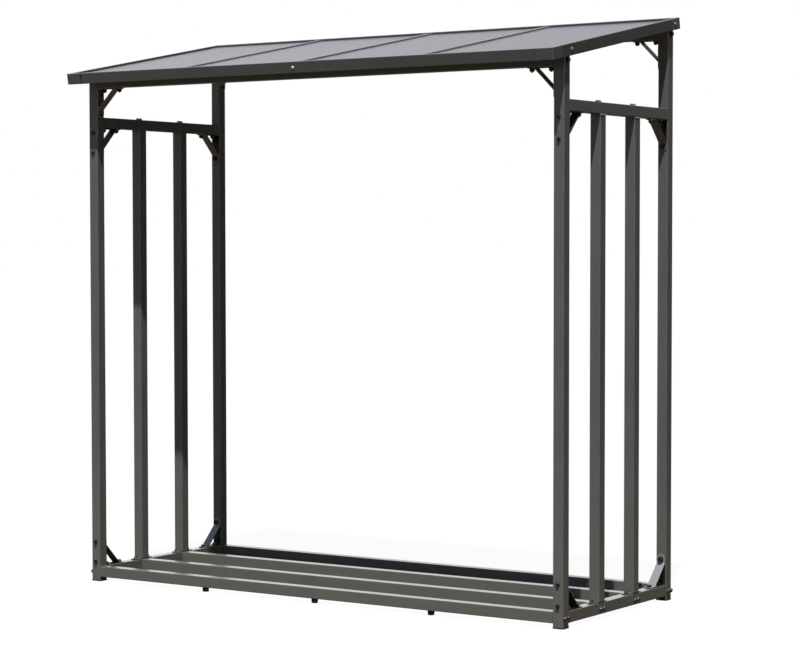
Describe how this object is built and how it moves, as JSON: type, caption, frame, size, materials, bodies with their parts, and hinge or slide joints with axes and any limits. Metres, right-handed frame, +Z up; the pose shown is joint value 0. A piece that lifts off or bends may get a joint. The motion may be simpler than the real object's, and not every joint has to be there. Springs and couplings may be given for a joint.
{
  "type": "log store",
  "caption": "Open firewood log store: square steel tube frame with barred sides, a raised rail floor and a sloping sheet metal roof.",
  "frame": {"origin": "on the ground, in the middle of the outline seen from above", "axes": "+X along the length to the right seen from the low front, +Y from the low front to the high back, +Z up"},
  "size_m": [1.85, 0.8172, 1.8497],
  "materials": {
    "frame_steel": "satin anthracite powder coat",
    "brace_steel": "satin anthracite powder coat",
    "roof_sheet": "smooth satin coated sheet",
    "foot_plastic": "matte black"
  },
  "bodies": {
    "root": {"front_left_post": "frame_steel", "front_right_post": "frame_steel", "back_left_post": "frame_steel", "back_right_post": "frame_steel", "front_floor_rail": "frame_steel", "inner_front_floor_rail": "frame_steel", "inner_back_floor_rail": "frame_steel", "back_floor_rail": "frame_steel", "left_floor_side_rail": "frame_steel", "right_floor_side_rail": "frame_steel", "left_upper_rail": "frame_steel", "right_upper_rail": "frame_steel", "left_front_bar": "frame_steel", "left_back_bar": "frame_steel", "right_front_bar": "frame_steel", "right_back_bar": "frame_steel", "front_beam": "frame_steel", "back_beam": "frame_steel", "front_fascia": "frame_steel", "back_fascia": "frame_steel", "left_fascia": "frame_steel", "right_fascia": "frame_steel", "fascia_corners": "frame_steel", "left_rafter": "frame_steel", "middle_rafter": "frame_steel", "right_rafter": "frame_steel", "left_roof_sheet": "roof_sheet", "inner_left_roof_sheet": "roof_sheet", "inner_right_roof_sheet": "roof_sheet", "right_roof_sheet": "roof_sheet", "seam_caps": "roof_sheet", "front_left_top_brace": "brace_steel", "front_right_top_brace": "brace_steel", "back_left_top_brace": "brace_steel", "back_right_top_brace": "brace_steel", "front_left_side_brace": "brace_steel", "front_right_side_brace": "brace_steel", "back_left_side_brace": "brace_steel", "back_right_side_brace": "brace_steel", "front_left_floor_brace": "brace_steel", "front_right_floor_brace": "brace_steel", "back_left_floor_brace": "brace_steel", "back_right_floor_brace": "brace_steel", "post_feet": "foot_plastic", "rail_feet": "foot_plastic"}
  },
  "joints": []
}
